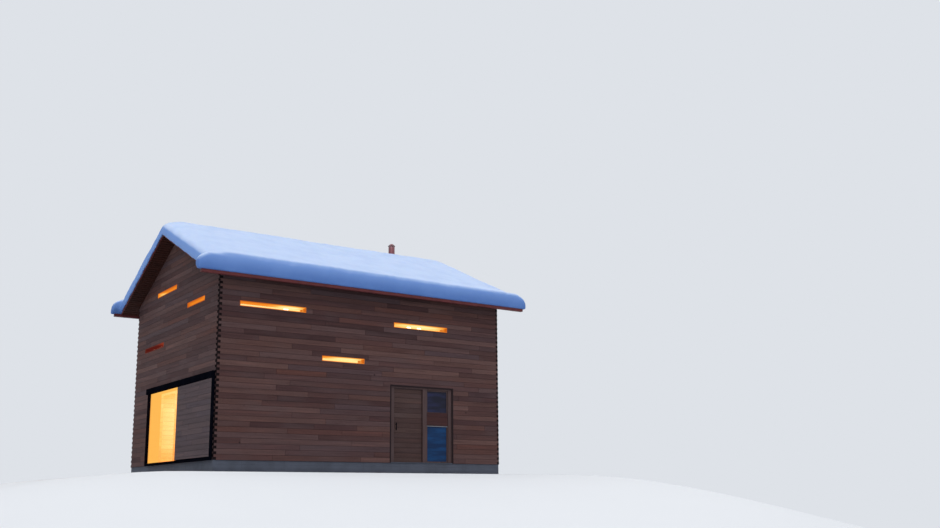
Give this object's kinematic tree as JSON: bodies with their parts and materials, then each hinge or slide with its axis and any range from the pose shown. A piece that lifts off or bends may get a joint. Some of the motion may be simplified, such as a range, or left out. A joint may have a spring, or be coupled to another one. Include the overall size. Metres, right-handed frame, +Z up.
{
  "type": "alpine chalet",
  "caption": "Two-storey timber chalet with finger-jointed board walls, slot windows, a sliding shutter, an entrance door and a snow-laden gable roof.",
  "frame": {"origin": "middle of the foundation's underside", "axes": "+Z up, +X along the ridge to the right of the long entrance wall, -Y out of the entrance wall, -X out of the gable with the sliding shutter"},
  "size_m": [11.1, 8.21, 8.213],
  "materials": {
    "concrete": "cast concrete",
    "floor_boards": "oiled boards",
    "larch": "weathered larch boards",
    "lining": "pale timber lining",
    "deck": "sawn timber",
    "soffit": "red-brown stained slats",
    "roof_metal": "red-brown coated sheet",
    "snow": "settled snow",
    "lit_glass": "glazing lit warm from inside",
    "black_steel": "black powder coat",
    "zinc": "zinc-plated steel",
    "door_wood": "oiled larch boards",
    "frame_wood": "planed larch",
    "sill_stone": "honed stone"
  },
  "bodies": {
    "house": {"foundation_slab": "concrete", "ground_floor": "floor_boards", "upper_floor": "floor_boards", "cladding_front_left": "larch", "cladding_front_over": "larch", "cladding_front_right": "larch", "cladding_left_front": "larch", "cladding_left_over": "larch", "cladding_left_back": "larch", "cladding_back": "larch", "cladding_right": "larch", "wall_front_left": "lining", "wall_front_over": "lining", "wall_front_right": "lining", "wall_left_front": "lining", "wall_left_over": "lining", "wall_left_back": "lining", "wall_back": "lining", "wall_right": "lining", "wall_plates": "deck", "roof_purlins": "deck", "roof_deck_front": "deck", "roof_deck_back": "deck", "roof_sheets": "roof_metal", "soffit_slats": "soffit", "roof_trims": "roof_metal", "ridge_cap": "roof_metal", "snow_front": "snow", "snow_back": "snow", "flue": "roof_metal", "slot_linings": "lining", "slot_panes": "lit_glass", "slide_surround": "black_steel", "slide_rail": "black_steel", "glazing_frame": "frame_wood", "ground_panes": "lit_glass", "entrance_frame": "frame_wood", "entrance_sill": "sill_stone", "door_hinges": "zinc", "sidelight_frame": "frame_wood"},
    "shutter": {"slide_panel": "larch", "slide_hangers": "zinc"},
    "door": {"door_leaf": "door_wood", "door_handle": "black_steel", "door_knuckles": "zinc"}
  },
  "joints": [
    {"name": "shutter_slide", "type": "slide", "parent": "house", "child": "shutter", "axis": [0, 1, 0], "range_m": [0, 2.65]},
    {"name": "door_hinge", "type": "hinge", "parent": "house", "child": "door", "pos_m": [1.875, -3.424, 0.38], "axis": [0, 0, -1], "range_deg": [0, 95]}
  ]
}
